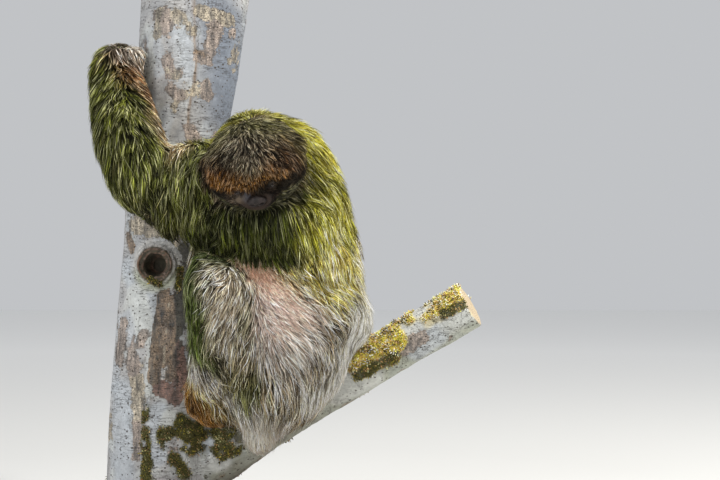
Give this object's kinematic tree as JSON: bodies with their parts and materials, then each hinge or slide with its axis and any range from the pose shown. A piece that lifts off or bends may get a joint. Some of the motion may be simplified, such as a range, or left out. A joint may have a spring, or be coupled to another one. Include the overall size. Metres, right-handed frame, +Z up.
{
  "type": "three-toed sloth",
  "caption": "Life-size three-toed sloth seated in the fork of a cut tree, head bowed on its chest and one long arm reaching round the trunk, on a flat display stand.",
  "frame": {"origin": "middle of the underside of the stand's board", "axes": "+Z up the tree; the sloth faces -Y, so its left side is towards +X and the branch leaves towards +X"},
  "size_m": [0.493, 0.3434, 0.682],
  "materials": {
    "coat": "long shaggy fur, green with algae",
    "crown_fur": "short dark brown fur",
    "belly_fur": "long grey-brown fur",
    "short_fur": "short brown fur",
    "bare_skin": "bare dark skin",
    "nose_leather": "bare dark skin, slightly moist",
    "dark_eye": "glossy",
    "claw_horn": "smooth horn",
    "pale_bark": "pale bark with moss and lichen",
    "stained_board": "stained and varnished",
    "turned_steel": "satin"
  },
  "bodies": {
    "root": {"arm_left_fore": "coat", "arm_left_upper": "coat", "arm_right_fore": "coat", "arm_right_upper": "coat", "chest": "coat", "claw_foot_left_1": "claw_horn", "claw_foot_left_2": "claw_horn", "claw_foot_left_3": "claw_horn", "claw_foot_right_1": "claw_horn", "claw_foot_right_2": "claw_horn", "claw_foot_right_3": "claw_horn", "claw_hand_left_1": "claw_horn", "claw_hand_left_2": "claw_horn", "claw_hand_left_3": "claw_horn", "claw_hand_right_1": "claw_horn", "claw_hand_right_2": "claw_horn", "claw_hand_right_3": "claw_horn", "ear_left": "crown_fur", "ear_right": "crown_fur", "eye_left": "dark_eye", "eye_right": "dark_eye", "foot_left": "short_fur", "foot_right": "short_fur", "hand_left": "short_fur", "hand_right": "short_fur", "head": "crown_fur", "hips": "belly_fur", "leg_left_shin": "belly_fur", "leg_left_thigh": "belly_fur", "leg_right_shin": "belly_fur", "leg_right_thigh": "belly_fur", "muzzle": "bare_skin", "neck": "coat", "nose": "nose_leather", "perch": "pale_bark", "stand_base": "stained_board", "stand_rod_1": "turned_steel", "stand_rod_2": "turned_steel", "tail": "belly_fur"}
  },
  "joints": []
}
